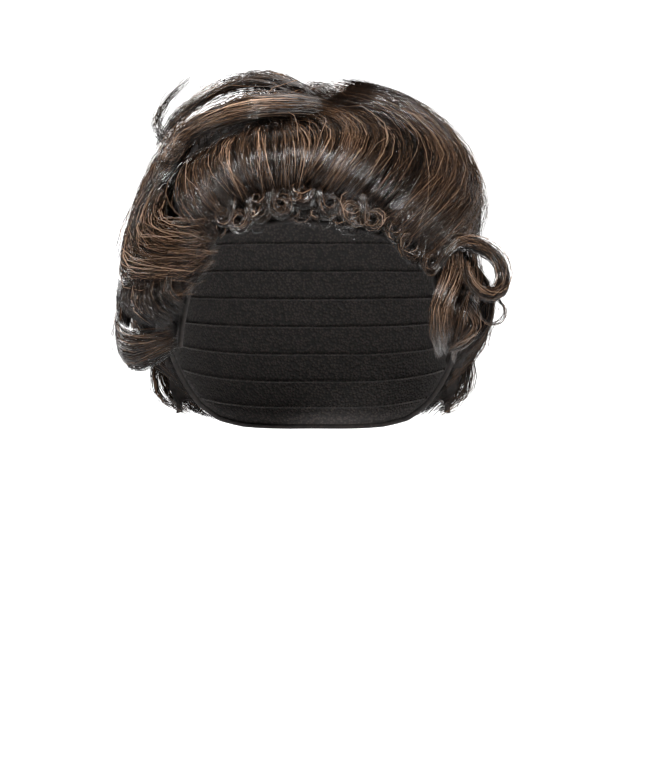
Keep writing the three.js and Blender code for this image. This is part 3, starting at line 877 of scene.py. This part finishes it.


# %% [markdown]
# A lock that stands by itself, such as the swept lock or the ring, has a core of its own instead: one tube
# in the same nearly black finish of painted shade as the soft bodies, along the very way that its strands
# take, so that daylight shows through the hole of a curl. The thin wisps need no core.
#
# Every mass below names its locks and how many clumps, hairs and stations it has. Spread is how far the
# hairs of a clump lie apart at root, middle and tip, in metres. Edge widens a fan past its outer locks,
# layers is how deep its clumps go, jitter scatters them in degrees, lift raises them, and shades darken
# single locks of a fan with painted shade. A curled mass gives the radius of its curl, the steps round it
# and how far it tightens. Narrow and tip close a lock towards its end. Strays, frizz and ragged roughen it,
# tone makes it lighter or darker, and thin makes its hairs finer or coarser. The tone of the right side's
# masses is painted light, that of the swept lock a painted highlight, and that of the fringe painted shade.

# %% The masses of hair
HAIR_RADIUS = 0.0002
HAIR_SIDES = 3
ROOT_FULLNESS = 1.1
HAIR_THINNING = 0.75
CORE_SHARE = 0.62
CORE_SIDES = 10
CORE_DETAIL = 3
CORE_CURL_DETAIL = 2
CORE_CLOSING = 0.3
CORE_END = 0.1
MASSES = {
    # painted shade: the shades darken the locks under the hook of the swept lock most
    "brow_hair": dict(
        rows=BROW, clumps=200, hairs=9, stations=7, spread=(0.0014, 0.0016, 0.0008), edge=0.15,
        jitter=0.8, shades=(0.22, 0.06, 0, 0.06, 0, 0.08),
    ),
    # painted shade: the shades darken the fourth lock, which lies in the deep valley of the sweeps
    "sweep_hair": dict(
        rows=SWEEPS, clumps=225, hairs=9, stations=7, spread=(0.0014, 0.0018, 0.001), jitter=0.7,
        shades=(0.08, 0, 0, 0.25, 0, 0),
    ),
    "outer_sweep_hair": dict(
        rows=OUTER_SWEEPS, clumps=200, hairs=10, stations=7, spread=(0.0018, 0.0024, 0.0014), edge=0.4,
        jitter=0.9,
    ),
    "top_hair": dict(
        rows=TOP, clumps=60, hairs=9, stations=5, spread=(0.003, 0.004, 0.003), edge=0.4,
    ),
    "parting_hair": dict(
        rows=PARTING, clumps=50, hairs=8, stations=6, spread=(0.002, 0.003, 0.002), edge=0.4, jitter=1.0,
    ),
    # painted highlight: the tone lightens the swept lock, so that its hook reads as lit
    "swept_hair": dict(
        rows=SWEPT, replaces="swept_lock", clumps=66, hairs=9, stations=7, fan=False, frizz=0.0008,
        strays=0.14, spread=(0.002, 0.0022, 0.0016), curled=HOOK_RADIUS, curl_stations=6, tightening=0.3,
        narrow=0.9, tip=0.9, ragged=0.08, tone=0.12,
    ),
    "left_fall_hair": dict(
        rows=LEFT_FALL, clumps=80, hairs=9, stations=6, spread=(0.0022, 0.0028, 0.0018), jitter=1.2,
    ),
    "left_temple_hair": dict(
        rows=LEFT_TEMPLE, clumps=200, hairs=10, stations=6, spread=(0.0014, 0.0018, 0.0014), edge=0.2,
        curled=HOOK_RADIUS, curl_stations=2, tightening=0.2, jitter=1.6, frizz=0.0008, strays=0.14,
        tone=-0.05,
    ),
    # painted shade: the tone darkens the fringe where it hangs under the temple arcs
    "left_fringe_hair": dict(
        rows=LEFT_FRINGE, clumps=100, hairs=8, stations=4, spread=(0.0016, 0.002, 0.001), tone=-0.2,
        jitter=0.8,
    ),
    "left_roll_hair": dict(
        rows=LEFT_ROLL, replaces="left_lower_roll", clumps=78, hairs=9, stations=7, fan=False,
        spread=(0.0009, 0.0014, 0.001), tone=-0.03,
    ),
    "left_roll_top_hair": dict(
        rows=LEFT_ROLL_TOP, clumps=28, hairs=8, stations=4, fan=False, spread=(0.0009, 0.0009, 0.0008),
        curled=HOOK_RADIUS, curl_stations=4, tightening=0.1, tone=-0.05,
    ),
    # painted light: the tones of this mass, the ring and the lower curl lighten the side the key lamp leaves
    # in shade
    "right_side_hair": dict(
        rows=RIGHT_SIDE, clumps=125, hairs=9, stations=6, spread=(0.0018, 0.0022, 0.001), edge=0.4,
        jitter=1.6, tone=0.14,
    ),
    "right_ring_hair": dict(
        rows=RIGHT_RING, replaces="right_ring_curl", clumps=40, hairs=8, stations=4, fan=False,
        frizz=0.0005, strays=0.12, spread=(0.0016, 0.0011, 0.0009), curled=HOOK_RADIUS, curl_stations=9,
        tightening=0.2, narrow=0.6, tone=0.1,
    ),
    "right_lower_hair": dict(
        rows=RIGHT_LOWER, replaces="right_lower_curl", clumps=32, hairs=9, stations=6, fan=False,
        spread=(0.0014, 0.0016, 0.001), tone=0.12,
    ),
    "back_hair": dict(
        rows=BACK, replaces="back_waves", clumps=100, hairs=9, stations=9,
        spread=(0.0026, 0.0036, 0.0026), edge=0.4, thin=1.25,
    ),
    "back_curl_hair": dict(
        rows=BACK_CURLS, clumps=110, hairs=8, stations=6, spread=(0.0026, 0.003, 0.0018), edge=0.4,
        thin=1.25,
    ),
    "nape_hair": dict(
        rows=NAPE, clumps=110, hairs=8, stations=4, spread=(0.0022, 0.0024, 0.0008), edge=0.5, jitter=0.8,
    ),
    "behind_left_ear_hair": dict(
        rows=BEHIND_LEFT_EAR, clumps=60, hairs=9, stations=5, spread=(0.002, 0.0022, 0.0008), jitter=0.8,
    ),
    "behind_right_ear_hair": dict(
        rows=BEHIND_RIGHT_EAR, clumps=60, hairs=9, stations=5, spread=(0.002, 0.0022, 0.0008), jitter=0.8,
    ),
    "pin_hair": dict(
        rows=PINS, clumps=204, hairs=5, stations=2, fan=False, spread=(0.0009, 0.0007, 0.0005),
        frizz=0.00025, curled=PIN_CURL_RADIUS, curl_stations=8, tightening=0.3, fullness=(0.6, 1.08),
        jitter=1.5, thin=0.85, tone=-0.05,
    ),
    "ringlet_hair": dict(
        rows=FRINGE, clumps=2 * RINGLETS, hairs=3, stations=2, fan=False, spread=(0.001, 0.0008, 0.0006),
        frizz=0.0003, curled=PIN_CURL_RADIUS, curl_stations=6, tightening=0.4, jitter=3, tone=-0.04,
    ),
    "wisp_hair": dict(
        rows=WISPS, replaces="raised_wisps", core=False, clumps=34, hairs=6, stations=9, frizz=0.0008,
        strays=0.3, spread=(0.001, 0.0014, 0.0024), layers=1.6,
    ),
    "tuft_hair": dict(
        rows=TUFT, clumps=12, hairs=4, stations=7, fan=False, spread=(0.001, 0.003, 0.0035), frizz=0.0006,
        thin=0.7,
    ),
    "loop_hair": dict(
        rows=RIGHT_LOOP, clumps=4, hairs=3, stations=4, fan=False, spread=(0.001, 0.0006, 0.0005),
        curled=PIN_CURL_RADIUS, curl_stations=10, tightening=0.1, facing=(0.0, -1.0, 0.0),
    ),
    "front_strays": dict(
        rows=BROW + SWEEPS[1:] + OUTER_SWEEPS[1:], clumps=320, hairs=1, stations=9,
        spread=(0.001, 0.002, 0.002), jitter=3, lift=0.0012, frizz=0.0009, layers=0.3, thin=0.55,
    ),
    "left_strays": dict(
        rows=LEFT_TEMPLE, clumps=200, hairs=1, stations=7, spread=(0.001, 0.002, 0.002), jitter=2,
        lift=0.0012, curled=HOOK_RADIUS, curl_stations=4, tightening=0.3, frizz=0.0009, layers=0.3,
        thin=0.55,
    ),
    "flyaway_hair": dict(
        rows=OUTER_SWEEPS, clumps=130, hairs=1, stations=9, spread=(0.001, 0.002, 0.002), jitter=3.5,
        lift=0.0028, frizz=0.0016, layers=0.2, thin=0.45, edge=0.3,
    ),
}


def centre_ways(hair):
    lock = columns(hair["rows"], np.arange(len(hair["rows"])))
    share, out = bend(lock, CORE_DETAIL * hair["stations"])
    place = above(out, STYLE_DEPTH * rises(lock, share))
    if hair["curled"]:
        steps = CORE_CURL_DETAIL * hair["curl_stations"]
        full = np.ones(len(place))
        place, out = curl_round(lock, place, out, hair["curled"], steps, hair["tightening"], full)
        share = np.linspace(0, 1, place.shape[1])
    return lock, share, place, out


def add_core(name, hair):
    lock, share, place, out = centre_ways(hair)
    half_width = CORE_SHARE * (lock["width"] * LOCK_WIDTH / 2)[:, None] * swelling(share)
    half_thick = CORE_SHARE * (lock["thick"] * LOCK_THICKNESS / 2)[:, None] * swelling(share)
    if hair["curled"]:
        half_width = half_width * np.clip(CURL_CLOSING - share, USUAL["narrow"], 1)
    closing = np.clip((1 - share) / CORE_CLOSING, CORE_END, 1)
    half_width = half_width * closing
    half_thick = half_thick * closing
    corners = tube_corners(keep_out(place), out, half_width, half_thick, CORE_SIDES)
    core = add_tubes(name, corners, body_material)
    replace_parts(core, hair["replaces"])


def comb(name, hair, seed):
    rng = np.random.default_rng(seed)
    share, ways, up, tone, fineness = hair_ways(hair, rng)
    ways = keep_out(ways)
    radius = HAIR_RADIUS * hair["thin"] * (ROOT_FULLNESS - HAIR_THINNING * share**2) * fineness[:, None]
    corners = tube_corners(ways, up, radius, radius, HAIR_SIDES)
    piece = add_tubes(name, corners, hair_material, tone)
    if hair["replaces"] and hair["core"]:
        add_core(hair["replaces"] + "_core", hair)
    elif hair["replaces"]:
        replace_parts(piece, hair["replaces"])
    return len(piece.data.loops) - 2 * len(piece.data.polygons)


triangles = {name: comb(name, {**USUAL, **own}, seed) for seed, (name, own) in enumerate(MASSES.items())}
print("hair triangles", sum(triangles.values()), triangles)

own_cores = {own["replaces"] for own in MASSES.values() if "replaces" in own}
body_nodes = [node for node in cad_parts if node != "wig_cap" and node not in own_cores]
body_faces = {node: soft_body(node) for node in body_nodes}
print("body faces", sum(body_faces.values()), body_faces)

# %% [markdown]
# The cap is knitted net. The front opening shows its inside, so it is laid out again as a smooth wall, with
# the sewn rows of hair as low ridges round it and a binding along its rim. A row that meets the front
# opening stops a little short of the rim on both sides.

# %% The finish of the cap
cap_finish = Finish("knitted cap")
cap_place = cap_finish.make("TexCoord", None, None, output=3)
cap_knit = cap_finish.make("TexVoronoi", None, {"Vector": cap_place, "Scale": 700.0})
cap_material = cap_finish.end(
    {
        "Base Color": cap_finish.make(
            "ValToRGB",
            {"stops": [(0.1, (0.035, 0.027, 0.023)), (0.6, (0.007, 0.0055, 0.005))]},
            {0: cap_knit},
        ),
        "Roughness": 0.85,
        "Normal": cap_finish.make("Bump", None, {"Strength": 0.8, "Distance": 0.0006, "Height": cap_knit}),
    }
)

# %% The cap, its sewn rows and its binding
CAP_COLUMNS = 120
CAP_ROWS = 24
CAP_TOP = 0.995
ROW_HEIGHTS = range(-34, 66, 9)
ROW_CLEARANCE = 2.0
ROW_RADIUS = 0.0008
ROW_STATIONS = 80
CORD_SIDES = 6
BINDING_RADIUS = 0.0014
DEGREES_ROUND = 181


def add_cap():
    azimuth = np.linspace(-180, 180, CAP_COLUMNS, endpoint=False)[:, None]
    share = np.linspace(0, 1, CAP_ROWS + 1)[None] * CAP_TOP
    elevation = rim(azimuth) + (90 - rim(azimuth)) * share
    out = direction(azimuth + 0 * elevation, elevation)
    points = np.stack([above(out, 0.0), above(out, CAP_WALL)])
    index = np.arange(points.size // 3).reshape(2, CAP_COLUMNS, CAP_ROWS + 1)
    after = np.roll(index, -1, 1)
    outer = np.stack([index[1, :, :-1], after[1, :, :-1], after[1, :, 1:], index[1, :, 1:]], axis=-1)
    inner = np.stack([index[0, :, :-1], index[0, :, 1:], after[0, :, 1:], after[0, :, :-1]], axis=-1)
    edge = np.stack([index[0, :, 0], after[0, :, 0], after[1, :, 0], index[1, :, 0]], axis=-1)
    faces = np.concatenate([outer.reshape(-1, 4), inner.reshape(-1, 4), edge]).tolist()
    faces += [index[1, :, -1].tolist(), index[0, ::-1, -1].tolist()]
    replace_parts(add_piece("smooth_cap", points, faces, cap_material), "wig_cap")


def add_cord(name, azimuth, elevation, height, radius, material):
    out = direction(azimuth, elevation)[None]
    place = above(out, height)
    half = np.full(place.shape[:2], radius)
    add_tubes(name, tube_corners(place, out, half, half, CORD_SIDES), material)


def add_sewn_row(elevation):
    azimuth = np.linspace(0, 360, DEGREES_ROUND)
    hidden = azimuth[rim(azimuth) >= elevation - ROW_CLEARANCE]
    start = hidden[hidden < 180].max() + ROW_CLEARANCE if len(hidden) else 0
    end = hidden[hidden >= 180].min() - ROW_CLEARANCE if len(hidden) else 360
    azimuth = np.linspace(start, end, ROW_STATIONS)
    height = np.full(ROW_STATIONS, float(elevation))
    add_cord(f"sewn_row_{elevation + 90}", azimuth, height, 0.0, ROW_RADIUS, cap_material)


add_cap()
for row_height in ROW_HEIGHTS:
    add_sewn_row(row_height)
rim_round = np.linspace(-180, 180, DEGREES_ROUND)
add_cord("rim_binding", rim_round, rim(rim_round), CAP_WALL / 2, BINDING_RADIUS, body_material)
print("sewn rows", len(ROW_HEIGHTS))
